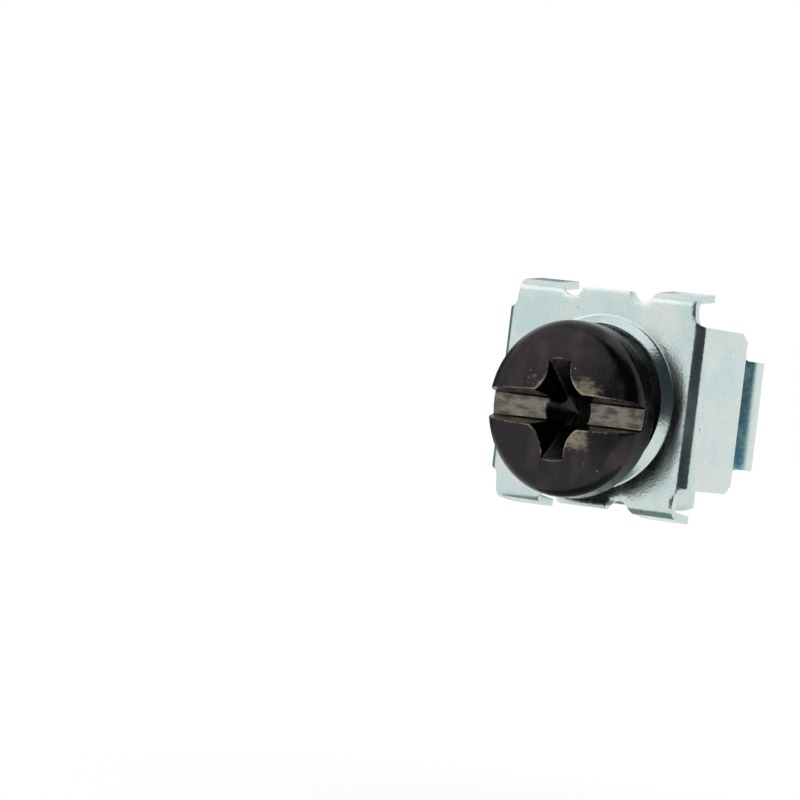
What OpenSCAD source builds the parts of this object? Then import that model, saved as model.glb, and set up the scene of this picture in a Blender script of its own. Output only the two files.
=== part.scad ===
// Rack cage nut: a square nut floating in a folded spring-steel cage, with its machine screw.
// The screw's axis runs along Y. The plane y = 0 is the back face of the rack rail, on which the
// shoulders of the cage bear, and the origin is the centre of the rail's square hole.
// The legs point to +Y, through the hole. The base plate and the screw's head are on the -Y side.

/* [Cage sheet] */
// Thickness of the spring-steel sheet
sheet_t = 0.45; // [0.35:0.05:0.6]
// Inner radius of the sheet's folds
fold_r = 0.25; // [0.2:0.05:0.4]

/* [Rail] */
// Width of the rail's square hole
hole_w = 9.5; // [9.3:0.05:9.7]
// Clearance of each leg's face in the hole
leg_clear = 0.1; // [0.05:0.05:0.2]
// Clearance of each leg's edges in the hole
leg_edge_clear = 0.25; // [0.1:0.05:0.6]

/* [Cage body] */
// Sideways play of the nut to either side of its middle
play_x = 1.15; // [0.8:0.05:1.2]
// Play of the nut up or down from its middle
play_z = 0.92; // [0.6:0.01:1]
// Height of the side walls
wall_h = 9.8; // [9.5:0.1:10.6]
// Radius of the side walls' rear corners
wall_corner_r = 0.7; // [0.4:0.1:1]

/* [Cage flanges and tabs] */
// Width of each flange
flange_w = 2.86; // [2.5:0.02:3]
// Straight length of each flange behind its fold
flange_len = 1.8; // [1:0.1:2.2]
// Outward flare of the flanges, in degrees
flange_flare = 7; // [0:1:12]
// Step from a side wall's face in to the outer end of a flange
flange_inset = 0.76; // [0.7:0.02:1]
// Width of the centre tabs
tab_w = 3.3; // [3:0.1:3.6]
// Step from a flange's face in to the edge of a centre tab
tab_inset = 0.15; // [0:0.05:0.3]
// Depth of the notches beside the tabs
notch_depth = 0.6; // [0.5:0.05:0.8]

/* [Cage collar] */
// Clearance between the screw and the collar, with the nut in a corner of its play
throat_clear = 0.35; // [0.2:0.05:0.6]
// Straight length of the collar's cone
collar_len = 0.6; // [0.3:0.05:0.7]
// Angle between the collar's cone and the plate, in degrees
collar_angle = 45; // [30:1:60]

/* [Cage legs] */
// Straight length of the legs behind the rail's face
leg_straight = 1.6; // [1:0.05:2.6]
// Slope of the hooks away from the leg, in degrees
hook_angle = 50; // [35:1:60]
// Length of the hooks' sloping stretch
hook_len = 1.15; // [0.6:0.05:1.3]
// Width of the hooks' tips
tip_w = 6.7; // [5.5:0.1:7.6]
// Length of the hooks' straight tips
tip_len = 0.35; // [0.2:0.05:1]
// Length of the lead-in at the end of the tips
lead_len = 0.3; // [0.2:0.05:0.6]
// Inward turn of the lead-in, in degrees
lead_angle = 22; // [10:1:35]

/* [Nut] */
// Width across the flats of the square nut
nut_w = 10.75; // [10.6:0.05:11.2]
// Thickness of the nut
nut_t = 4; // [3.4:0.1:4.2]
// Gap between the nut's front face and the base plate
nut_gap = 1; // [0.2:0.05:1.2]
// Gap between the nut's rear face and the legs' shoulders
nut_rear_gap = 0.2; // [0.1:0.05:1]
// Radius of the nut's four corners
nut_corner_r = 1; // [0.5:0.1:1.6]
// Radius of the nut's rounded rear edges
nut_rear_r = 1.1; // [0.6:0.1:1.3]
// Radius of the nut's front edges
nut_front_r = 0.4; // [0.3:0.05:0.5]
// Lead chamfer at the two mouths of the thread
nut_chamfer = 0.35; // [0.2:0.05:0.5]
// Gap left between the nut and the wall that it has floated towards
nut_side_gap = 0.9; // [0.05:0.05:1.1]

/* [Screw] */
// Major radius of the thread
thread_r = 2.743; // [2.6:0.001:2.8]
// Length under the head
screw_len = 15.9; // [12.7:0.1:19.1]
// Length of the pointed end
point_len = 0.8; // [0.5:0.1:1.2]
// Radius at the end of the point
point_r = 2.05; // [1.8:0.05:2.3]
// Gap between the head's seat and the base plate
head_gap = 1.35; // [1.1:0.05:4]
// Radius of the head
head_r = 5.35; // [5.1:0.05:5.4]
// Height of the head
head_h = 2.8; // [2.6:0.05:3.4]
// Height of the head's straight side
head_side_h = 1.3; // [1:0.05:1.5]
// Radius of the head's shoulder
head_shoulder_r = 1.2; // [1:0.05:1.25]

/* [Drive] */
// Width of the slot at its floor
slot_w = 1.4; // [1.2:0.05:1.6]
// Outward lean of the slot's walls, in degrees
slot_draft = 6; // [2:1:8]
// Height of the slot's floor above the head's seat
slot_floor = 1.1; // [0.9:0.05:1.4]
// Distance over the tips of the cross recess
recess_span = 6.1; // [5.9:0.05:6.4]
// Width of the cross recess's wings
recess_w = 1.5; // [1.3:0.05:1.6]
// Radius between the cross recess's wings, at the crown
recess_web_r = 2; // [1:0.1:2.4]
// Radius of the cross recess at its floor
recess_floor_r = 1.15; // [0.9:0.05:1.4]
// Height of the cross recess's floor above the head's seat
recess_floor = 0.75; // [0.6:0.05:1]

/* [Fits] */
// Running clearance between the screw and the nut's thread, on the radius
thread_clear = 0.03; // [0.02:0.01:0.08]
// Clearance under the nut where it rests on the lower flanges
nut_clear = 0.03; // [0.02:0.01:0.06]

/* [Hidden] */
$fn = 64;
over = 1;
tiny = 0.01;
fold_out_r = fold_r + sheet_t;

cage_w = nut_w + 2 * (play_x + sheet_t);
cage_h = nut_w + 2 * (play_z + sheet_t);
cage_d = nut_gap + nut_t + nut_rear_gap + 2 * sheet_t;
plate_y = -cage_d;
plate_back_y = plate_y + sheet_t;
flat_x = cage_w / 2 - fold_out_r;
flat_z = cage_h / 2 - fold_out_r;
corner_x = cage_w / 2 - flange_inset;
tab_z = cage_h / 2 - tab_inset;
notch_w = corner_x - flange_w - tab_w / 2;

throat_r = thread_r + norm([play_x, play_z]) + throat_clear;
collar_foot_r = throat_r + fold_out_r * sin(collar_angle) + collar_len * cos(collar_angle);

leg_x = hole_w / 2 - leg_clear;
leg_w = hole_w - 2 * leg_edge_clear;
wall_len = cage_d - 2 * fold_out_r;
shoulder_len = flat_x - leg_x - fold_r;
leg_end_y = fold_r + leg_straight;
hook_y = leg_end_y + hook_len * cos(hook_angle) + fold_r * sin(hook_angle);

nut_x = nut_side_gap - play_x;
nut_y = plate_back_y + nut_gap;
nut_z = nut_clear - play_z;
bore_r = thread_r + thread_clear;
seat_y = plate_y - head_gap;

// A sheet drawn edge-on from [0, 0] towards +X, its underside on the X axis.
// Each step is [straight length, turn in degrees], a left turn being positive.
module strip(steps, i = 0) {
    if (i < len(steps)) {
        straight = steps[i][0];
        turn = steps[i][1];
        if (straight > 0)
            translate([-tiny, 0]) square([straight + 2 * tiny, sheet_t]);
        translate([straight, 0]) {
            if (turn > 0) {
                translate([0, fold_out_r]) ring_sector(-90, turn);
                translate([fold_out_r * sin(turn), fold_out_r * (1 - cos(turn))])
                    rotate(turn) strip(steps, i + 1);
            } else if (turn < 0) {
                translate([0, -fold_r]) ring_sector(90 + turn, -turn);
                translate([-fold_r * sin(turn), -fold_r * (1 - cos(turn))])
                    rotate(turn) strip(steps, i + 1);
            }
        }
    }
}

// The part of a fold's ring from one angle over a turn of up to 90 degrees
module ring_sector(start, turn) {
    reach = 2 * fold_out_r;
    intersection() {
        difference() {
            circle(fold_out_r);
            circle(fold_r);
        }
        polygon([
            [0, 0],
            reach * [cos(start), sin(start)],
            reach * [cos(start + turn / 2), sin(start + turn / 2)],
            reach * [cos(start + turn), sin(start + turn)]
        ]);
    }
}

// A rectangle from x = 0 to d, centred on Y, with its own corner radius at each end
module rounded_ends(d, w, r_start, r_end) {
    translate([r_start, -w / 2]) square([d - r_start - r_end, w]);
    translate([0, -w / 2 + r_start]) square([r_start + tiny, w - 2 * r_start]);
    translate([d - r_end - tiny, -w / 2 + r_end]) square([r_end + tiny, w - 2 * r_end]);
    for (side = [-1, 1]) {
        translate([r_start, side * (w / 2 - r_start)]) circle(r_start);
        translate([d - r_end, side * (w / 2 - r_end)]) circle(r_end);
    }
}

// Turns a flat drawing in X and Z into a plate that grows towards +Y
module along_y(h) {
    rotate([90, 0, 0]) translate([0, 0, -h]) linear_extrude(h) children();
}

// Turns a flat drawing in Y and Z into a solid across the whole width
module across_x(w) {
    rotate([90, 0, 90]) translate([0, 0, -w / 2]) linear_extrude(w) children();
}

// Plate between its folds, with a tab above and below that notches set free
module plate_outline() {
    difference() {
        union() {
            for (side = [0, 1]) mirror([0, side]) polygon([
                [-flat_x, -tiny],
                [-flat_x, wall_h / 2],
                [-corner_x, flat_z],
                [corner_x, flat_z],
                [flat_x, wall_h / 2],
                [flat_x, -tiny]
            ]);
            square([tab_w + notch_w, 2 * tab_z], center = true);
        }
        circle(collar_foot_r);
        for (x_side = [-1, 1], z_side = [-1, 1])
            translate([x_side * (tab_w + notch_w) / 2, z_side * (tab_z - notch_depth)])
                scale([x_side, z_side]) notch();
    }
}

// Round-bottomed notch, open towards +Y
module notch() {
    translate([0, notch_w / 2]) {
        circle(notch_w / 2);
        translate([-notch_w / 2, 0]) square([notch_w, over]);
    }
}

// Side view of a wall, its shoulder and its leg, from the base plate to past the tip.
// The wall's corners are rounded where its fold to the shoulder starts.
module side_outline() {
    tip_y = hook_y + fold_out_r + tip_len + lead_len + over;
    translate([plate_y - over, 0])
        rounded_ends(cage_d - fold_out_r + over, wall_h, over / 2, wall_corner_r);
    for (side = [0, 1]) mirror([0, side]) polygon([
        [plate_y + cage_d / 2, -tiny],
        [plate_y + cage_d / 2, leg_w / 2],
        [leg_end_y, leg_w / 2],
        [hook_y, tip_w / 2],
        [tip_y, tip_w / 2],
        [tip_y, -tiny]
    ]);
}

// Wall, shoulder and hooked leg on the +X side, as one folded strip
module side_wing() {
    intersection() {
        translate([0, 0, -wall_h / 2]) linear_extrude(wall_h)
            translate([flat_x, plate_y]) strip([
                [0, 90],
                [wall_len, 90],
                [shoulder_len, -90],
                [leg_straight, -hook_angle],
                [hook_len, hook_angle],
                [tip_len, lead_angle],
                [lead_len, 0]
            ]);
        across_x(2 * cage_w) side_outline();
    }
}

// Upper flange on the +X side
module flange() {
    translate([corner_x - flange_w / 2, 0, 0]) across_x(flange_w)
        translate([plate_y, flat_z]) mirror([1, -1]) strip([
            [0, 90 - flange_flare],
            [flange_len, 0]
        ]);
}

// Points on an arc about a centre, from one angle to another
function arc(centre, r, from, to, steps = 8) =
    [for (i = [0:steps]) centre + r * [cos(from + (to - from) * i / steps), sin(from + (to - from) * i / steps)]];

// Drawn collar round the hole: a fillet at its foot, then a short cone standing proud of the plate
module collar() {
    cone = collar_len * [-cos(collar_angle), sin(collar_angle)];
    foot = [collar_foot_r, fold_out_r];
    back = arc(foot, fold_out_r, 270, 270 - collar_angle);
    front = arc(foot, fold_r, 270 - collar_angle, 270);
    translate([0, plate_back_y, 0]) rotate([90, 0, 0]) rotate_extrude()
        polygon(concat(back, [back[len(back) - 1] + cone, front[0] + cone], front));
}

module cage() {
    color([0.77, 0.82, 0.82]) {
        translate([0, plate_y, 0]) along_y(sheet_t) plate_outline();
        collar();
        for (x_side = [0, 1]) mirror([x_side, 0, 0]) {
            side_wing();
            for (z_side = [0, 1]) mirror([0, 0, z_side]) flange();
        }
    }
}

module nut_blank() {
    intersection() {
        translate([0, 0, -nut_w / 2]) linear_extrude(nut_w)
            rotate(90) rounded_ends(nut_t, nut_w, nut_front_r, nut_rear_r);
        across_x(nut_w) rounded_ends(nut_t, nut_w, nut_front_r, nut_rear_r);
        along_y(nut_t) translate([-nut_w / 2, 0])
            rounded_ends(nut_w, nut_w, nut_corner_r, nut_corner_r);
    }
}

// The nut rests on the lower flanges, floated to the left
module nut() {
    color([0.7, 0.76, 0.75]) translate([nut_x, nut_y, nut_z]) difference() {
        nut_blank();
        rotate([90, 0, 0]) rotate_extrude() bore_profile();
    }
}

// Thread's bore with a lead chamfer at each mouth
module bore_profile() {
    translate([0, -nut_t - over]) square([bore_r, nut_t + 2 * over]);
    mouth = bore_r + nut_chamfer;
    polygon([[0, -mouth], [mouth, 0], [mouth, over], [0, over]]);
    polygon([[0, mouth - nut_t], [mouth, -nut_t], [mouth, -nut_t - over], [0, -nut_t - over]]);
}

// Half section of the pan head, seat on the X axis. The crown is tangent to the shoulder.
module head_profile() {
    shoulder_x = head_r - head_shoulder_r;
    rise = head_h - head_side_h;
    crown_r = (pow(shoulder_x, 2) + pow(rise, 2) - pow(head_shoulder_r, 2)) / (2 * (rise - head_shoulder_r));
    tangent_x = shoulder_x * crown_r / (crown_r - head_shoulder_r);
    intersection() {
        union() {
            square([head_r, head_side_h]);
            square([tangent_x, head_h]);
            translate([shoulder_x, head_side_h]) circle(head_shoulder_r);
        }
        translate([0, head_h - crown_r]) circle(crown_r, $fn = 200);
        square([head_r, head_h]);
    }
}

module drive_recess() {
    slot_flare = (head_h - slot_floor) * tan(slot_draft);
    across_x(2 * (head_r + over)) polygon([
        [-slot_w / 2, slot_floor],
        [slot_w / 2, slot_floor],
        [slot_w / 2 + slot_flare, head_h],
        [-slot_w / 2 - slot_flare, head_h]
    ]);
    intersection() {
        translate([0, 0, recess_floor])
            cylinder(h = head_h - recess_floor, r1 = recess_floor_r, r2 = recess_span / 2);
        linear_extrude(head_h + over) cross_outline();
    }
    translate([0, 0, recess_floor - recess_floor_r / 3])
        cylinder(h = recess_floor_r / 3 + tiny, r1 = 0.1, r2 = recess_floor_r * 0.8);
}

// Cross of two wings, with a web's radius in each corner
module cross_outline() {
    web = recess_w / 2 + recess_web_r;
    for (turn = [0, 90]) rotate(turn) square([recess_span, recess_w], center = true);
    difference() {
        square(2 * web, center = true);
        for (x_side = [-1, 1], z_side = [-1, 1]) translate([x_side * web, z_side * web]) circle(recess_web_r);
    }
}

// Screw with its seat facing +Y and its slot lying level
module screw() {
    color([0.14, 0.13, 0.13]) translate([nut_x, seat_y, nut_z]) {
        rotate([90, 0, 0]) difference() {
            rotate_extrude() head_profile();
            drive_recess();
        }
        rotate([-90, 0, 0]) {
            translate([0, 0, -tiny]) cylinder(h = screw_len - point_len + tiny, r = thread_r);
            translate([0, 0, screw_len - point_len]) cylinder(h = point_len, r1 = thread_r, r2 = point_r);
        }
    }
}

cage();
nut();
screw();
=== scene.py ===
import math

import bpy
import numpy as np
from mathutils import Matrix, Vector, geometry


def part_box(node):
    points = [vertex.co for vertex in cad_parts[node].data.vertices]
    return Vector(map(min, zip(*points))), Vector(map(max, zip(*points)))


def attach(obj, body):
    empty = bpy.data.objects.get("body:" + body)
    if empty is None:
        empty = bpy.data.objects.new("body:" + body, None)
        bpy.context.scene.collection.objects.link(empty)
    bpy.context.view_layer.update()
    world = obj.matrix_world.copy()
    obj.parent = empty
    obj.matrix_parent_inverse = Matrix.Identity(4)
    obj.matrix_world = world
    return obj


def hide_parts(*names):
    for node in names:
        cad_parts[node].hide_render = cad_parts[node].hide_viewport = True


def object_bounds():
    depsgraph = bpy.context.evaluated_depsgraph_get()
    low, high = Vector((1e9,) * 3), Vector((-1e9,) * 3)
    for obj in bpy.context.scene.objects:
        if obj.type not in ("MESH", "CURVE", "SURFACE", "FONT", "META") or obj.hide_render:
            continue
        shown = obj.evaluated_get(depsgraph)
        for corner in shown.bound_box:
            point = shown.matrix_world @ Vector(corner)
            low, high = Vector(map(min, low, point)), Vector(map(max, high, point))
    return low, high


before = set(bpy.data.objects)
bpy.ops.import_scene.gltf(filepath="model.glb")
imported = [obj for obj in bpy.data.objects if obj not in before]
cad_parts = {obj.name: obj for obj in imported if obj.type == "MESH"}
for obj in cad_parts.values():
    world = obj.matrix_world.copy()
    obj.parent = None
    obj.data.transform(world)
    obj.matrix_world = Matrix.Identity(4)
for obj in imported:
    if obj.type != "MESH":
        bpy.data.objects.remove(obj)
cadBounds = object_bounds()
scene = bpy.context.scene
mm = 0.001
print("frame loaded")


# small helpers
def linearColour(hexText):
    channels = [int(hexText[i : i + 2], 16) / 255 for i in (1, 3, 5)]
    return [c / 12.92 if c <= 0.04045 else ((c + 0.055) / 1.055) ** 2.4 for c in channels] + [1.0]


def addNode(tree, kind, inputs=None, **settings):
    node = tree.nodes.new(kind)
    for name, value in settings.items():
        setattr(node, name, value)
    for key, value in (inputs or {}).items():
        if isinstance(value, bpy.types.NodeSocket):
            tree.links.new(value, node.inputs[key])
        else:
            node.inputs[key].default_value = value
    return node


def newMaterial(name):
    material = bpy.data.materials.new(name)
    material.use_nodes = True
    material.node_tree.nodes.clear()
    return material, material.node_tree


def setMaterial(obj, material):
    obj.data.materials.clear()
    obj.data.materials.append(material)


def newPiece(name, points, faces):
    # points in mm
    data = bpy.data.meshes.new(name)
    data.from_pydata([tuple(mm * c for c in p) for p in points], [], faces)
    data.validate()
    obj = bpy.data.objects.new(name, data)
    scene.collection.objects.link(obj)
    data.shade_smooth()
    return obj


def applyModifiers(obj):
    bpy.context.view_layer.update()
    graph = bpy.context.evaluated_depsgraph_get()
    done = bpy.data.meshes.new_from_object(obj.evaluated_get(graph))
    obj.modifiers.clear()
    old = obj.data
    obj.data = done
    bpy.data.meshes.remove(old)


def arc(x, z, radius, start, end, count):
    # points round a centre, between two angles in degrees
    angles = [math.radians(start + (end - start) * i / count) for i in range(count + 1)]
    return [(x + radius * math.cos(a), z + radius * math.sin(a)) for a in angles]


# camera
cameraSetup = {
    "azimuth": 30.644,  # degrees round from the -Y side towards +X
    "elevation": -0.306,
    "roll": 6.935,
    "distance": 261.04,  # mm from the middle of the base plate
    "lens": 193.8,
    "aimLeft": 2.588,  # degrees that the lens turns left of the plate's middle
    "aimDown": 0.038,
}


def directionFrom(azimuth, elevation):
    a, e = math.radians(azimuth), math.radians(elevation)
    return Vector((math.sin(a) * math.cos(e), -math.cos(a) * math.cos(e), math.sin(e)))


def makeCamera(plateY):
    back = directionFrom(cameraSetup["azimuth"], cameraSetup["elevation"])
    look = (-back).to_track_quat("-Z", "Y").to_matrix()
    roll = Matrix.Rotation(math.radians(cameraSetup["roll"]), 3, "Z")
    turn = Matrix.Rotation(math.radians(cameraSetup["aimLeft"]), 3, "Y")
    tilt = Matrix.Rotation(-math.radians(cameraSetup["aimDown"]), 3, "X")
    place = Vector((0, plateY, 0)) + back * cameraSetup["distance"]
    data = bpy.data.cameras.new("camera")
    data.lens = cameraSetup["lens"]
    data.sensor_width = 36
    data.clip_start = 0.01
    camera = bpy.data.objects.new("camera", data)
    scene.collection.objects.link(camera)
    camera.matrix_world = Matrix.Translation(place * mm) @ (look @ roll @ turn @ tilt).to_4x4()
    scene.camera = camera


# studio
studio = {
    "floorDrop": 19,  # mm from the part's lowest point
    "floorHalf": 3000,
    "floorGlow": 0.29,  # lifts the lit paper to white where it is seen
    "tentLight": 0.8,
    "tentSeen": 1.0,
    # each card: radius in mm, azimuths, elevations, colour, strength
    "cards": {
        "openFront": (120, -11, 94, -58, 56, "#30383D", 1.0),
        "keyPanel": (119, -120, -16, 14, 42, "#FFFBF4", 1.45),
        "topPanel": (118, -180, 180, 58, 90, "#FFFFFF", 1.1),
        "underCard": (23, -180, 180, -90, -52, "#7E938E", 1.0),
        "sideCard": (117, -150, -72, -22, 22, "#5E7A80", 1.0),
    },
}


def seenShare(tree):
    # 1 for the rays that show a surface, directly or in a reflection, and 0 for those that only light it
    path = addNode(tree, "ShaderNodeLightPath")
    share = path.outputs["Is Camera Ray"]
    for kind in ("Is Glossy Ray", "Is Transmission Ray"):
        both = addNode(tree, "ShaderNodeMath", {0: share, 1: path.outputs[kind]}, operation="MAXIMUM")
        share = both.outputs[0]
    return share


def makeWorld():
    # a white tent, with a plain soft light on the part
    world = bpy.data.worlds.new("tent")
    scene.world = world
    world.use_nodes = True
    tree = world.node_tree
    tree.nodes.clear()
    lit = addNode(tree, "ShaderNodeBackground", {"Color": (1, 1, 1, 1), "Strength": studio["tentLight"]})
    seen = addNode(tree, "ShaderNodeBackground", {"Color": (1, 1, 1, 1), "Strength": studio["tentSeen"]})
    mix = addNode(tree, "ShaderNodeMixShader", {0: seenShare(tree), 1: lit.outputs[0], 2: seen.outputs[0]})
    addNode(tree, "ShaderNodeOutputWorld", {"Surface": mix.outputs[0]})


def makeCard(name, radius, azimuthFrom, azimuthTo, elevationFrom, elevationTo, colour, strength):
    # one patch of a sphere round the part, seen only in reflections
    across, up = 24, 12  # faces
    points, faces = [], []
    for i in range(up + 1):
        for j in range(across + 1):
            azimuth = azimuthFrom + (azimuthTo - azimuthFrom) * j / across
            elevation = elevationFrom + (elevationTo - elevationFrom) * i / up
            points.append(directionFrom(azimuth, elevation) * radius)
    for i in range(up):
        for j in range(across):
            k = i * (across + 1) + j
            faces.append((k, k + 1, k + across + 2, k + across + 1))
    card = newPiece(name, points, faces)
    material, tree = newMaterial(name)
    shade = addNode(tree, "ShaderNodeEmission", {"Color": linearColour(colour), "Strength": strength})
    addNode(tree, "ShaderNodeOutputMaterial", {"Surface": shade.outputs[0]})
    setMaterial(card, material)
    card.visible_camera = False
    card.visible_diffuse = False
    card.visible_shadow = False


def makeFloor(lowest):
    z = lowest / mm - studio["floorDrop"]
    half = studio["floorHalf"]
    corners = [(-half, -half, z), (half, -half, z), (half, half, z), (-half, half, z)]
    floor = newPiece("floor", corners, [(0, 1, 2, 3)])
    material, tree = newMaterial("palePaper")
    glow = addNode(tree, "ShaderNodeMath", {0: seenShare(tree), 1: studio["floorGlow"]}, operation="MULTIPLY")
    paper = addNode(tree, "ShaderNodeBsdfDiffuse", {"Color": linearColour("#F4F4F2")})
    shine = addNode(tree, "ShaderNodeEmission", {"Color": (1, 1, 1, 1), "Strength": glow.outputs[0]})
    both = addNode(tree, "ShaderNodeAddShader", {0: paper.outputs[0], 1: shine.outputs[0]})
    addNode(tree, "ShaderNodeOutputMaterial", {"Surface": both.outputs[0]})
    setMaterial(floor, material)


# cage sheet, drawn as a flat blank and then folded
cageSheet = {
    "thickness": 0.45,
    "foldRadius": 0.25,  # inner
    "depth": 6.1,  # from the plate's front to the rail's face
    "halfHeight": 6.745,  # to the outside of the flanges' folds
    "wallHalf": 4.9,
    "wallCorner": 0.7,
    "insideCorner": 0.6,  # between a wall's top and the plate's side edge
    "flangeOuter": 6.215,
    "flangeInner": 3.355,
    "flangeLength": 1.8,
    "flangeFlare": 7,
    "flangeCorner": 0.3,
    "tabHalf": 1.65,
    "tabReach": 6.61,
    "lowerTabBend": 13,  # degrees towards the screw's head
    "notchDepth": 0.6,
    "collarFoot": 5.38,
    "collarAt": (0.15, -0.28),  # the collar was drawn a little off the middle
    "collarAngle": 45,
    "coneLength": 0.6,
    "ringSteps": 128,
    "legX": 4.65,
    "legHalf": 4.5,
    "legStraight": 1.6,
    "hookAngle": 50,
    "hookLength": 1.15,
    "tipHalf": 3.35,
    "tipLength": 0.35,
    "leadAngle": 22,
    "leadLength": 0.3,
    "tipCorner": 0.3,
    "edgeRound": 0.06,
    "grid": 0.45,  # spacing of the points on the flat parts
    "clearance": 0.07,  # from the outline to the nearest point inside
    "rowClearance": 0.05,
}


def foldPath(steps, radius):
    # points along a folded strip's middle: each step is a straight length, then a turn in degrees
    points, marks = [(0, 0.0, 0.0)], [0.0]
    travelled, heading, place = 0.0, 0.0, (0.0, 0.0)
    for straight, turn in steps:
        if straight > 0:
            parts = max(1, round(straight / 0.6))
            marks += [travelled + straight * i / parts for i in range(1, parts + 1)]
            travelled += straight
            place = (place[0] + straight * math.cos(heading), place[1] + straight * math.sin(heading))
            points.append((travelled, *place))
        if turn:
            angle = math.radians(turn)
            length = radius * abs(angle)
            side = math.copysign(radius, angle)
            centre = (place[0] - side * math.sin(heading), place[1] + side * math.cos(heading))
            count = max(6, round(abs(turn) / 2))
            for i in range(1, count + 1):
                a = heading + angle * i / count
                place = (centre[0] + side * math.sin(a), centre[1] - side * math.cos(a))
                points.append((travelled + length * i / count, *place))
            parts = max(2, round(abs(turn) / 10))
            marks += [travelled + length * i / parts for i in range(1, parts + 1)]
            travelled += length
            heading += angle
    return np.array(points), marks, travelled


def workOutFolds():
    # where the blank's folds lie: x and z on the flat plate, s along a wing or a flange from its first fold
    c = cageSheet
    radius = c["foldRadius"] + c["thickness"] / 2
    outer = c["foldRadius"] + c["thickness"]
    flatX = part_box("cage")[1].x / mm - outer
    flatZ = c["halfHeight"] - outer
    wall = c["depth"] - 2 * outer
    shoulder = flatX - c["legX"] - c["foldRadius"]
    wing, wingMarks, wingEnd = foldPath([
        (0, 90),
        (wall, 90),
        (shoulder, -90),
        (c["legStraight"], -c["hookAngle"]),
        (c["hookLength"], c["hookAngle"]),
        (c["tipLength"], c["leadAngle"]),
        (c["leadLength"], 0),
    ], radius)
    flange, flangeMarks, flangeEnd = foldPath([(0, 90 - c["flangeFlare"]), (c["flangeLength"], 0)], radius)
    hook = math.radians(c["hookAngle"])
    legEnd = c["foldRadius"] + c["legStraight"]
    notchRadius = (c["flangeInner"] - c["tabHalf"]) / 2
    steps = int(flatX / c["grid"]) + 1
    return {
        "radius": radius,
        "outer": outer,
        "flatX": flatX,
        "flatZ": flatZ,
        "plateY": -c["depth"] + c["thickness"] / 2,
        "columns": [flatX * i / steps for i in range(-steps, steps + 1)],
        "levels": [flatZ * i / steps for i in range(-steps, steps + 1)],
        "wing": wing,
        "wingMarks": wingMarks,
        "wingEnd": wingEnd,
        "shoulderEnd": radius * math.pi + wall + shoulder,
        "legEnd": legEnd,
        "hookEnd": legEnd + c["hookLength"] * math.cos(hook) + c["foldRadius"] * math.sin(hook),
        "flange": flange,
        "flangeMarks": flangeMarks,
        "flangeEnd": flangeEnd,
        "notchRadius": notchRadius,
        "notchX": c["tabHalf"] + notchRadius,
        "tabRow": flatZ + 0.25,
        "collarBend": math.radians(c["collarAngle"]),
    }


def wingHalf(s):
    # half the wing's width at s
    c, f = cageSheet, cageFolds
    y = f["plateY"] + np.interp(s, f["wing"][:, 0], f["wing"][:, 2])
    if s < f["shoulderEnd"]:
        r = c["wallCorner"]
        past = min(r, max(0, y + f["outer"] + r))
        return max(c["legHalf"], c["wallHalf"] - r + math.sqrt(r * r - past * past))
    half = float(np.interp(y, [f["legEnd"], f["hookEnd"]], [c["legHalf"], c["tipHalf"]]))
    r = c["tipCorner"]
    return half - r + math.sqrt(max(0, r * r - max(0, s - f["wingEnd"] + r) ** 2))


def blankOutline():
    # one quarter, from the upper tab's middle round to the leg's end, and its mirror images
    c, f = cageSheet, cageFolds
    notchZ = c["tabReach"] - c["notchDepth"] + f["notchRadius"]
    notchStart = 180 - math.degrees(math.asin((c["tabReach"] - notchZ) / f["notchRadius"]))
    quarter = [(0.0, c["tabReach"]), (c["tabHalf"] / 2, c["tabReach"])]
    quarter += arc(f["notchX"], notchZ, f["notchRadius"], notchStart, 360, 24)
    top = f["flatZ"] + f["flangeEnd"]
    r = c["flangeCorner"]
    quarter += arc(c["flangeInner"] + r, top - r, r, 180, 90, 6)
    quarter += arc(c["flangeOuter"] - r, top - r, r, 90, 0, 6)
    quarter.append((c["flangeOuter"], f["flatZ"]))
    r = c["insideCorner"]
    quarter += arc(f["flatX"] + r, c["wallHalf"] + r, r, 180, 270, 8)
    stations = set(f["wingMarks"])
    stations |= {0.12 * i for i in range(int(f["wingEnd"] / 0.12))}
    stations |= {f["wingEnd"] - 0.06 * i for i in range(8)}
    quarter += [(f["flatX"] + s, wingHalf(s)) for s in sorted(stations) if s > r]
    outline = list(quarter)
    outline += [(x, -z) for x, z in reversed(quarter)]
    outline += [(-x, -z) for x, z in quarter[1:]]
    outline += [(-x, z) for x, z in reversed(quarter[1:])]
    return [p for i, p in enumerate(outline) if i == 0 or math.dist(p, outline[i - 1]) > 1e-4]


def isInside(outline, x, z, margin=0.0):
    away = outline - (x, z)
    if (away * away).sum(1).min() < margin * margin:
        return False
    x0, z0 = outline[:, 0], outline[:, 1]
    x1, z1 = np.roll(x0, -1), np.roll(z0, -1)
    crossed = (z0 > z) != (z1 > z)
    with np.errstate(divide="ignore", invalid="ignore"):
        at = x0 + (z - z0) * (x1 - x0) / (z1 - z0)
    return bool((crossed & (x < at)).sum() % 2)


def foldRows(outline):
    # rows of edges along each fold, so that its shading runs straight
    c, f = cageSheet, cageFolds
    span = c["flangeOuter"] - c["flangeInner"]
    tab = [x for x in f["columns"] if abs(x) < f["notchX"]]
    tab = [x for x in tab if isInside(outline, x, f["tabRow"], c["clearance"])]
    rows = [[(x, up * f["tabRow"]) for x in tab] for up in (-1, 1)]
    for side in (-1, 1):
        for s in f["wingMarks"]:
            x = f["flatX"] + s
            row = [z for z in f["levels"] if isInside(outline, x, z, c["rowClearance"])]
            if s > c["insideCorner"]:
                row = [-wingHalf(s)] + row + [wingHalf(s)]
            rows.append([(side * x, z) for z in row])
        for s in f["flangeMarks"]:
            z = f["flatZ"] + s
            row = [c["flangeInner"] + span * i / 6 for i in range(6)]
            row = [x for x in row if isInside(outline, x, z, c["rowClearance"])]
            if s < f["flangeEnd"] - c["flangeCorner"]:
                row.append(c["flangeOuter"])
            rows += [[(side * x, up * z) for x in row] for up in (-1, 1)]
    return rows


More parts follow.
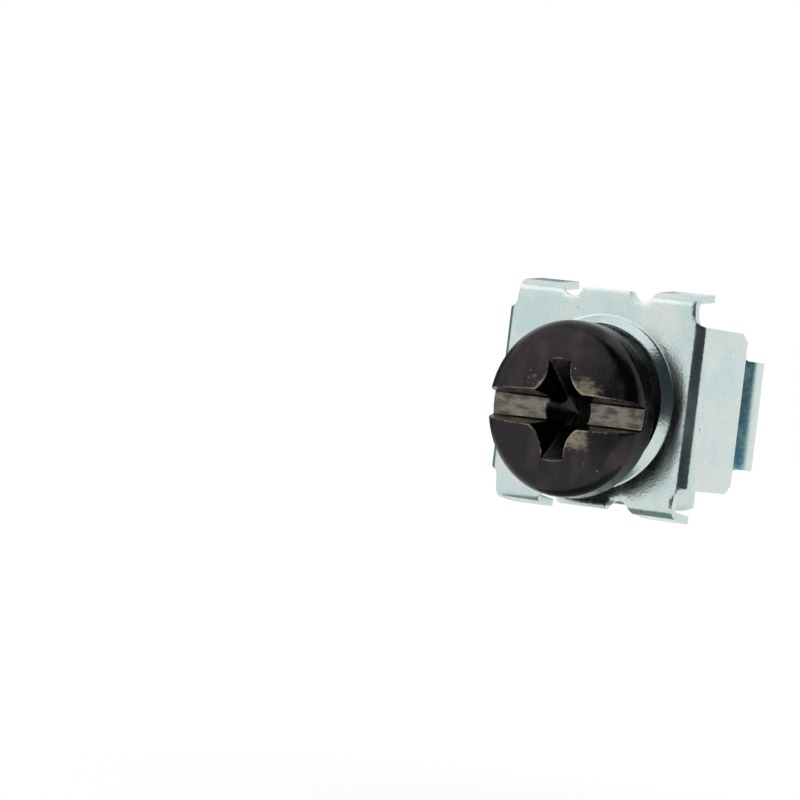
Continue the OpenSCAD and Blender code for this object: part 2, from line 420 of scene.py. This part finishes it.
def foldedPoint(x, z):
    c, f = cageSheet, cageFolds
    offX, offZ = c["collarAt"]
    reach = math.hypot(x - offX, z - offZ)
    if abs(x) > f["flatX"]:
        s = abs(x) - f["flatX"]
        across, back = (np.interp(s, f["wing"][:, 0], f["wing"][:, i]) for i in (1, 2))
        return math.copysign(f["flatX"] + across, x), f["plateY"] + back, z
    if abs(z) > f["flatZ"] and abs(x) > f["notchX"]:
        s = abs(z) - f["flatZ"]
        across, back = (np.interp(s, f["flange"][:, 0], f["flange"][:, i]) for i in (1, 2))
        return x, f["plateY"] + back, math.copysign(f["flatZ"] + across, z)
    if reach < c["collarFoot"]:
        s = c["collarFoot"] - reach
        turn = min(s / f["radius"], f["collarBend"])
        along = max(0, s - f["radius"] * f["collarBend"])
        radius = c["collarFoot"] - f["radius"] * math.sin(turn) - along * math.cos(f["collarBend"])
        rise = f["radius"] * (1 - math.cos(turn)) + along * math.sin(f["collarBend"])
        share = radius / reach
        return offX + (x - offX) * share, f["plateY"] - rise, offZ + (z - offZ) * share
    tip = -z - (c["tabReach"] - c["notchDepth"])
    if tip > 0 and abs(x) < f["notchX"]:
        angle = math.radians(c["lowerTabBend"])
        return x, f["plateY"] - tip * math.sin(angle), z + tip * (1 - math.cos(angle))
    return x, f["plateY"], z


def makeCagePiece():
    c, f = cageSheet, cageFolds
    offX, offZ = c["collarAt"]
    bent = f["radius"] * f["collarBend"]
    rings = [c["collarFoot"] - bent - c["coneLength"] * (1 - i / 5) for i in range(6)]
    rings += [c["collarFoot"] - bent * (1 - i / 6) for i in range(1, 7)]
    rings += [c["collarFoot"] + 0.2, c["collarFoot"] + 0.45]

    points = blankOutline()
    outline = np.array(points)
    first, steps = len(points), c["ringSteps"]
    edges = [(i, (i + 1) % first) for i in range(first)]
    edges += [(first + k, first + (k + 1) % steps) for k in range(steps)]
    for ring in rings:
        points += arc(offX, offZ, ring, 0, 360, steps)[:-1]
    for x in f["columns"]:
        for z in f["levels"]:
            onFlat = math.hypot(x - offX, z - offZ) > rings[-1] + 0.15
            if onFlat and isInside(outline, x, z, c["clearance"]):
                points.append((x, z))
    for row in foldRows(outline):
        edges += [(len(points) + i, len(points) + i + 1) for i in range(len(row) - 1)]
        points += row
    flat, _, triangles = geometry.delaunay_2d_cdt([Vector(p) for p in points], edges, [], 0, 1e-5)[:3]
    flat = np.array([tuple(p) for p in flat])

    # the hole and the blank's surroundings are left out, and every face looks towards -Y on the plate
    faces = []
    for triangle in triangles:
        corners = flat[list(triangle)]
        reach = np.hypot(corners[:, 0] - offX, corners[:, 1] - offZ).max()
        if reach > rings[0] + 1e-3 and isInside(outline, *corners.mean(0)):
            (x0, z0), (x1, z1), (x2, z2) = corners
            turn = (x1 - x0) * (z2 - z0) - (x2 - x0) * (z1 - z0)
            faces.append(tuple(triangle) if turn > 0 else tuple(triangle)[::-1])
    piece = newPiece("cageSheet", [foldedPoint(x, z) for x, z in flat], faces)
    sheet = piece.modifiers.new("sheet", "SOLIDIFY")
    sheet.thickness = c["thickness"] * mm
    sheet.offset = 0
    sheet.use_even_offset = True
    sheared = piece.modifiers.new("shearedEdge", "BEVEL")
    sheared.width = c["edgeRound"] * mm
    sheared.segments = 2
    sheared.limit_method = "ANGLE"
    sheared.angle_limit = math.radians(55)
    normals = piece.modifiers.new("normals", "WEIGHTED_NORMAL")
    normals.weight = 80
    return piece


# screw: a headed blank with a rolled thread
screwHead = {
    "radius": 5.35,
    "height": 2.8,
    "side": 1.3,
    "shoulder": 1.0,
    "seatEdge": 0.12,
    "neckRadius": 2.3,  # the head reaches into the thread by a short neck
    "neckLength": 0.4,
    "slotWidth": 1.36,  # at its floor
    "slotDraft": 13,
    "slotFloor": 1.1,
    "recessHalf": 3.32,
    "wingHalf": 0.76,
    "webRadius": 2.0,
    "recessFloorRadius": 0.95,
    "recessFloor": 0.5,
    "recessPoint": 0.5,  # the punch's cone reaches this much deeper
    "recessTurn": 2,  # degrees that the punched cross leans against the slot
    "recessOff": -0.15,  # the punch sits a little low
    "pads": ((1.9, 1.3, 1.15, 0.7), (1.6, -1.6, 1.0, 0.85), (-1.9, 1.7, 0.7, 0.3)),  # x, z, size, amount
    "cutterRise": 0.6,  # the cutters stand this far over the crown
    "voxel": 0.062,
}

screwThread = {
    "radius": 2.743,
    "pitch": 1.0583,
    "length": 15.9,
    "pointLength": 0.8,
    "pointRadius": 2.05,
    "runout": 1.2,
    "stepsRound": 72,
    "stepsPitch": 12,
}


def lathe(name, profile, steps):
    # profile: (radius, height) pairs, first and last on the axis; height grows towards -Y
    points, faces = [(0, -profile[0][1], 0)], []
    for radius, height in profile[1:-1]:
        for k in range(steps):
            a = 2 * math.pi * k / steps
            points.append((radius * math.sin(a), -height, radius * math.cos(a)))
    points.append((0, -profile[-1][1], 0))
    rows = len(profile) - 2
    last = len(points) - 1
    for k in range(steps):
        n = (k + 1) % steps
        faces.append((0, 1 + k, 1 + n))
        for j in range(rows - 1):
            a, b = 1 + j * steps, 1 + (j + 1) * steps
            faces.append((a + k, b + k, b + n, a + n))
        faces.append((1 + (rows - 1) * steps + n, 1 + (rows - 1) * steps + k, last))
    return newPiece(name, points, faces)


def lofted(name, sections):
    # sections: lists of (x, y, z) with as many points each
    count = len(sections[0])
    points = [p for section in sections for p in section]
    faces = [tuple(range(count))[::-1], tuple(range(len(points) - count, len(points)))]
    for j in range(len(sections) - 1):
        for k in range(count):
            n = (k + 1) % count
            faces.append((j * count + k, j * count + n, (j + 1) * count + n, (j + 1) * count + k))
    piece = newPiece(name, points, faces)
    bpy.context.view_layer.update()
    return piece


def crossSection(h):
    # outline of the cross recess at a height over the seat
    c = screwHead
    share = (h - c["recessFloor"]) / (c["height"] - c["recessFloor"])
    reach = c["recessFloorRadius"] + (c["recessHalf"] - c["recessFloorRadius"]) * share
    half = c["wingHalf"] * (0.72 + 0.28 * share)
    web = c["webRadius"] * (0.25 + 0.75 * share)
    web = min(web, 0.98 * (math.sqrt(max(0.01, reach**2 - half**2)) - half))
    start = math.degrees(math.asin(min(0.99, half / reach)))
    quarter = arc(0, 0, reach, 0, start, 6)
    quarter += arc(half + web, half + web, web, 270, 180, 12)
    quarter += arc(0, 0, reach, 90 - start, 90, 6)[:-1]
    outline = []
    for turn in range(4):
        a = math.radians(90 * turn + c["recessTurn"])
        cosT, sinT = math.cos(a), math.sin(a)
        outline += [(x * cosT - z * sinT, -h, x * sinT + z * cosT + c["recessOff"]) for x, z in quarter]
    return outline


def makeHead(axisX, axisZ, seatY):
    c = screwHead
    rise = c["height"] - c["side"]
    shoulderX = c["radius"] - c["shoulder"]
    crown = (shoulderX**2 + rise**2 - c["shoulder"] ** 2) / (2 * (rise - c["shoulder"]))
    tangent = math.asin(shoulderX / (crown - c["shoulder"]))
    edge = c["seatEdge"]
    neck = c["neckRadius"]
    profile = [(0, -c["neckLength"]), (neck, -c["neckLength"]), (neck, 0.0)]
    profile += [(neck + (c["radius"] - edge - neck) * i / 12, 0.0) for i in range(1, 12)]
    profile += arc(c["radius"] - edge, edge, edge, -90, 0, 6)
    profile += [(c["radius"], edge + (c["side"] - edge) * i / 6) for i in range(1, 6)]
    profile += arc(shoulderX, c["side"], c["shoulder"], 0, 90 - math.degrees(tangent), 24)
    for i in range(1, 30):
        a = tangent * (1 - i / 30)
        profile.append((crown * math.sin(a), c["height"] - crown + crown * math.cos(a)))
    profile.append((0, c["height"]))
    head = lathe("screwHead", profile, 160)
    top = c["height"] + c["cutterRise"]
    half = c["slotWidth"] / 2
    flare = half + (top - c["slotFloor"]) * math.tan(math.radians(c["slotDraft"]))
    ends = c["radius"] + 1
    off = c["recessOff"]
    section = [(-c["slotFloor"], -half), (-c["slotFloor"], half), (-top, flare), (-top, -flare)]
    slot = lofted("slotCutter", [[(x, y, off + z) for y, z in section] for x in (-ends, ends)])
    levels = 14
    heights = [c["recessFloor"] + (top - c["recessFloor"]) * i / levels for i in range(levels + 1)]
    sections = [crossSection(h) for h in heights]
    point = [(0.06 * x, y + c["recessPoint"], 0.06 * (z - off) + off) for x, y, z in sections[0]]
    recess = lofted("recessCutter", [point] + sections)
    for cutter in (slot, recess):
        cut = head.modifiers.new("cut", "BOOLEAN")
        cut.operation = "DIFFERENCE"
        cut.solver = "EXACT"
        cut.object = cutter
    applyModifiers(head)
    for cutter in (slot, recess):
        bpy.data.objects.remove(cutter)
    remesh = head.modifiers.new("forged", "REMESH")
    remesh.mode = "VOXEL"
    remesh.voxel_size = c["voxel"] * mm
    remesh.use_smooth_shade = True
    soft = head.modifiers.new("soft", "SMOOTH")
    soft.factor = 0.5
    soft.iterations = 3
    applyModifiers(head)
    head.data.transform(Matrix.Translation(Vector((axisX, seatY, axisZ)) * mm))
    head.data.shade_smooth()
    return head


def makeThread(axisX, axisZ, seatY):
    # rows follow the helix, so that the crests stay crisp, and those past an end fall flat on it
    t = screwThread
    depth = 0.6134 * t["pitch"]
    around, fine = t["stepsRound"], t["stepsPitch"]
    turns = int(t["length"] / t["pitch"]) + 2
    points, faces = [], []

    def radiusAt(phase, y):
        fromCrest = abs(phase - 0.5) * 2
        cut = min(1, max(0, (fromCrest - 0.14) / 0.72))
        fade = min(1, max(0, (y - 0.1) / t["runout"]))
        fromPoint = max(0, t["pointLength"] - (t["length"] - y)) / t["pointLength"]
        limit = t["radius"] - (t["radius"] - t["pointRadius"]) * fromPoint
        return min(t["radius"] - depth * cut * fade, limit)

    for j in range(-fine, turns * fine + 1):
        for k in range(around + 1):
            y = (j / fine + k / around) * t["pitch"]
            clamped = min(t["length"], max(0, y))
            phase = j / fine if y == clamped else clamped / t["pitch"] - k / around
            a = 2 * math.pi * k / around
            r = radiusAt(phase % 1, clamped)
            points.append((axisX + r * math.sin(a), seatY + clamped, axisZ + r * math.cos(a)))
    width = around + 1
    rows = len(points) // width
    for j in range(rows - 1):
        for k in range(around):
            a = j * width + k
            corners = (a, a + 1, a + width + 1, a + width)
            heights = [points[i][1] for i in corners]
            if max(heights) - min(heights) > 1e-6:
                faces.append(corners)
    tip = len(points)
    points.append((axisX, seatY + t["length"], axisZ))
    for k in range(around):
        faces.append((tip, (rows - 1) * width + k + 1, (rows - 1) * width + k))
    thread = newPiece("screwThread", points, faces)
    weld = thread.modifiers.new("weld", "WELD")
    weld.merge_threshold = 0.002 * mm
    applyModifiers(thread)
    thread.data.shade_smooth()
    return thread


makeCamera(-cageSheet["depth"])
print("camera made")
makeWorld()
for cardName, cardValues in studio["cards"].items():
    makeCard(cardName, *cardValues)
makeFloor(cadBounds[0].z)
print("studio made")

# Bright zinc plate on rolled spring steel, dipped in a clear blue passivate: a soft mirror with a fine
# grain, cloudy blue-green in the thin film, and bluer with a green mottle on the legs, paler towards their
# tips
zincSheet = {
    "base": "#D4DFDD",
    "cloud": "#C3D6D6",
    "warm": "#D9DCD8",
    "pit": "#4A5356",
    "crystal": "#8FA6A8",
    "legBlue": "#74AECB",
    "legGreen": "#9FD6D2",
    "legTip": "#DCE6E4",
    "legFrom": (0.2, 1.2),  # mm behind the rail's face
    "tipFrom": (2.8, 3.2),
    "legRoughness": 0.2,  # added on the legs
    "sheetBump": (0.35, 0.04),  # strength, height in mm
    "grainBump": (0.8, 0.012),
    # texture, size in mm, stretch, detail, and the values from and to which it is ranged
    "patterns": {
        "cloud": ("ShaderNodeTexNoise", 3.5, (1, 1, 1), 3, (0.4, 0.66, 0, 1)),
        "warm": ("ShaderNodeTexNoise", 2.1, (1, 1, 1), 4, (0.52, 0.7, 0, 1)),
        "mottle": ("ShaderNodeTexNoise", 0.4, (1, 1, 1), 4, (0.42, 0.6, 0, 1)),
        "pit": ("ShaderNodeTexVoronoi", 1.15, (1, 1, 1), 0, (0.05, 0.1, 1, 0)),
        "pitArea": ("ShaderNodeTexNoise", 2.2, (1, 1, 1), 3, (0.5, 0.56, 0, 1)),
        "crystal": ("ShaderNodeTexNoise", 0.16, (1, 1, 1), 2, (0.3, 0.75, 0, 0.22)),
        "grain": ("ShaderNodeTexNoise", 0.16, (1, 1, 1), 2, None),
        "sheet": ("ShaderNodeTexNoise", 2.5, (1, 1, 1), 2, None),
        "smear": ("ShaderNodeTexNoise", 1.2, (1, 1, 0.35), 4, (0.3, 0.75, 0.16, 0.3)),
    },
}


def layPatterns(tree, rows):
    # the patterns of one finish, in the piece's own coordinates
    where = addNode(tree, "ShaderNodeTexCoord").outputs["Object"]
    laid = {}
    for name, (kind, size, stretch, detail, span) in rows.items():
        factor = [s / (size * mm) for s in stretch]
        scaled = addNode(tree, "ShaderNodeMapping", {"Vector": where, "Scale": factor})
        texture = addNode(tree, kind, {"Vector": scaled.outputs[0], "Scale": 1, "Detail": detail})
        laid[name] = texture.outputs[0]
        if span:
            inputs = {0: laid[name], 1: span[0], 2: span[1], 3: span[2], 4: span[3]}
            laid[name] = addNode(tree, "ShaderNodeMapRange", inputs).outputs[0]
    return laid


def layColours(tree, base, layers):
    # each layer: how much of it shows, and its colour
    colour = base
    for share, tint in layers:
        colour = addNode(tree, "ShaderNodeMix", {0: share, 6: colour, 7: tint}, data_type="RGBA").outputs[2]
    return colour


def makeZinc(name, legs=True, dull=0.0):
    z = zincSheet
    material, tree = newMaterial(name)
    laid = layPatterns(tree, z["patterns"])
    rough = addNode(tree, "ShaderNodeMath", {0: laid["smear"], 1: dull}, operation="ADD").outputs[0]
    layers = [(laid["cloud"], linearColour(z["cloud"])), (laid["warm"], linearColour(z["warm"]))]
    if legs:
        where = addNode(tree, "ShaderNodeTexCoord")
        y = addNode(tree, "ShaderNodeSeparateXYZ", {0: where.outputs["Object"]}).outputs["Y"]
        onLeg, onTip = [
            addNode(tree, "ShaderNodeMapRange", {0: y, 1: start * mm, 2: end * mm}).outputs[0]
            for start, end in (z["legFrom"], z["tipFrom"])
        ]
        legLayers = [(laid["mottle"], linearColour(z["legGreen"])), (onTip, linearColour(z["legTip"]))]
        layers.append((onLeg, layColours(tree, linearColour(z["legBlue"]), legLayers)))
        inputs = {0: onLeg, 1: z["legRoughness"], 2: rough}
        rough = addNode(tree, "ShaderNodeMath", inputs, operation="MULTIPLY_ADD").outputs[0]
    # pits left by the pickle, about a tenth of a millimetre across, in some areas only
    pit = addNode(tree, "ShaderNodeMath", {0: laid["pit"], 1: laid["pitArea"]}, operation="MULTIPLY")
    layers += [(pit.outputs[0], linearColour(z["pit"])), (laid["crystal"], linearColour(z["crystal"]))]
    colour = layColours(tree, linearColour(z["base"]), layers)
    normal = None
    for pattern, (strength, height) in (("sheet", z["sheetBump"]), ("grain", z["grainBump"])):
        inputs = {"Height": laid[pattern], "Strength": strength, "Distance": height * mm}
        if normal:
            inputs["Normal"] = normal
        normal = addNode(tree, "ShaderNodeBump", inputs).outputs[0]
    inputs = {"Base Color": colour, "Metallic": 1.0, "Roughness": rough, "Normal": normal}
    bsdf = addNode(tree, "ShaderNodeBsdfPrincipled", inputs)
    addNode(tree, "ShaderNodeOutputMaterial", {"Surface": bsdf.outputs[0]})
    return material


# Black oxide with an oil film on a cold-headed screw: near black with a soft sheen and brown smears, rubbed
# to bare steel where the driver has turned in the cross and in the slot, and lighter on convex edges near the
# drive, partly as wear and partly as a painted highlight
blackOxide = {
    "base": "#302D30",
    "brown": "#433F3C",
    # the bare steel colour also serves as a painted highlight on the convex edges near the drive
    "bareAndHighlight": "#8E8672",
    "floorSteel": "#78746A",
    "dust": "#8A8578",
    "wornAndHighlightFrom": (0.2, 0.95),
    "dentBump": (0.4, 0.05),  # strength, height in mm
    "grainBump": (0.5, 0.01),
    "patterns": {
        "smear": ("ShaderNodeTexNoise", 1.6, (1, 1, 0.5), 4, (0.5, 0.72, 0, 0.8)),
        "ragged": ("ShaderNodeTexNoise", 0.35, (1, 1, 2.2), 5, (0.3, 0.7, -0.3, 0.22)),
        "scuffs": ("ShaderNodeTexNoise", 0.35, (0.4, 1, 1), 4, (0.38, 0.6, 0.25, 1)),
        "dust": ("ShaderNodeTexVoronoi", 0.55, (1, 1, 1), 0, (0.05, 0.11, 1, 0)),
        "dustArea": ("ShaderNodeTexNoise", 1.1, (1, 1, 1), 3, (0.55, 0.62, 0, 1)),
        "oil": ("ShaderNodeTexNoise", 0.9, (1, 1, 1), 4, (0.3, 0.7, 0.17, 0.34)),
        "dents": ("ShaderNodeTexNoise", 1.4, (1, 1, 1), 3, None),
        "grain": ("ShaderNodeTexNoise", 0.14, (1, 1, 1), 3, None),
    },
}


def makeBlack():
    b = blackOxide
    material, tree = newMaterial("blackOxide")
    laid = layPatterns(tree, b["patterns"])
    # this mask carries wear on the pads and, along convex edges, wear mixed with a painted highlight
    wear = addNode(tree, "ShaderNodeAttribute", attribute_name="wear").outputs["Fac"]
    floorWear = addNode(tree, "ShaderNodeAttribute", attribute_name="slotWear").outputs["Fac"]
    inputs = {0: wear, 1: laid["ragged"]}
    ragged = addNode(tree, "ShaderNodeMath", inputs, operation="ADD", use_clamp=True).outputs[0]
    worn = addNode(tree, "ShaderNodeMapRange", {0: ragged, 1: b["wornAndHighlightFrom"][0], 2: b["wornAndHighlightFrom"][1]})
    scuffed = addNode(tree, "ShaderNodeMath", {0: floorWear, 1: laid["scuffs"]}, operation="MULTIPLY")
    speck = addNode(tree, "ShaderNodeMath", {0: laid["dust"], 1: laid["dustArea"]}, operation="MULTIPLY")
    colour = layColours(tree, linearColour(b["base"]), [
        (laid["smear"], linearColour(b["brown"])),
        (worn.outputs[0], linearColour(b["bareAndHighlight"])),
        (scuffed.outputs[0], linearColour(b["floorSteel"])),
        (speck.outputs[0], linearColour(b["dust"])),
    ])
    normal = None
    for pattern, (strength, height) in (("dents", b["dentBump"]), ("grain", b["grainBump"])):
        inputs = {"Height": laid[pattern], "Strength": strength, "Distance": height * mm}
        if normal:
            inputs["Normal"] = normal
        normal = addNode(tree, "ShaderNodeBump", inputs).outputs[0]
    inputs = {"Base Color": colour, "Metallic": 1.0, "Roughness": laid["oil"], "Normal": normal}
    bsdf = addNode(tree, "ShaderNodeBsdfPrincipled", inputs)
    addNode(tree, "ShaderNodeOutputMaterial", {"Surface": bsdf.outputs[0]})
    return material


def markWear(head, axisX, axisZ, seatY):
    # convex edges near the drive are lightened, partly as rubbed-bare wear and partly as a painted highlight;
    # the pads beside it are rubbed bare, and so is the slot's floor
    c = screwHead
    data = head.data
    count = len(data.vertices)
    points = np.empty(count * 3)
    normals = np.empty(count * 3)
    data.vertices.foreach_get("co", points)
    data.vertices.foreach_get("normal", normals)
    points, normals = points.reshape(-1, 3) / mm, normals.reshape(-1, 3)
    ends = np.empty(len(data.edges) * 2, dtype=int)
    data.edges.foreach_get("vertices", ends)
    ends = ends.reshape(-1, 2)
    link = points[ends[:, 1]] - points[ends[:, 0]]
    bend = np.zeros(count)
    number = np.zeros(count)
    np.add.at(bend, ends[:, 0], -(link * normals[ends[:, 0]]).sum(1))
    np.add.at(bend, ends[:, 1], (link * normals[ends[:, 1]]).sum(1))
    np.add.at(number, ends.ravel(), 1)
    bend /= number * c["voxel"]
    for _ in range(3):
        total = np.zeros(count)
        np.add.at(total, ends[:, 0], bend[ends[:, 1]])
        np.add.at(total, ends[:, 1], bend[ends[:, 0]])
        bend = 0.4 * bend + 0.6 * total / number
    x = points[:, 0] - axisX
    z = points[:, 2] - axisZ - c["recessOff"]
    h = seatY - points[:, 1]
    reach = np.hypot(x, z)
    # convex edges: partly wear, partly a painted highlight for the light that they catch
    edge = np.clip((bend - 0.02) / 0.06, 0, 1) * (h > c["slotFloor"] + 0.4)
    edge *= np.clip((4.9 - reach) / 1.5, 0.15, 1)
    pads = np.zeros(count)
    for padX, padZ, size, amount in c["pads"]:
        away = np.hypot(x - padX, (z - padZ) * 1.3) / size
        pads = np.maximum(pads, amount * np.clip(1.3 - away, 0, 1))
    pads *= (h > 2.2) * (-normals[:, 1] > 0.7)
    wear = np.clip(edge * 0.7 + pads, 0, 1)
    onFloor = (np.abs(h - c["slotFloor"]) < 0.12) * (-normals[:, 1] > 0.8)
    for label, values in (("wear", wear), ("slotWear", onFloor.astype(float))):
        layer = data.attributes.new(label, "FLOAT", "POINT")
        layer.data.foreach_set("value", np.ascontiguousarray(values, dtype=np.float32))


zinc = makeZinc("zincPassivated")
nutZinc = makeZinc("zincNut", legs=False, dull=0.08)
black = makeBlack()
setMaterial(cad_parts["cage"], zinc)
setMaterial(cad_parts["nut"], nutZinc)
setMaterial(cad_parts["screw"], black)
print("finishes made")

cageFolds = workOutFolds()
cagePiece = makeCagePiece()
setMaterial(cagePiece, zinc)
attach(cagePiece, "cage")
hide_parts("cage")
print("cage made")

screwLow, screwHigh = (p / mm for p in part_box("screw"))
axisX, axisZ = (screwLow.x + screwHigh.x) / 2, (screwLow.z + screwHigh.z) / 2
seatY = screwHigh.y - screwThread["length"]
headPiece = makeHead(axisX, axisZ, seatY)
threadPiece = makeThread(axisX, axisZ, seatY)
markWear(headPiece, axisX, axisZ, seatY)
for piece in (headPiece, threadPiece):
    setMaterial(piece, black)
    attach(piece, "screw")
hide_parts("screw")
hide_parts("screw")
print("screw made")

scene.view_settings.view_transform = "Standard"
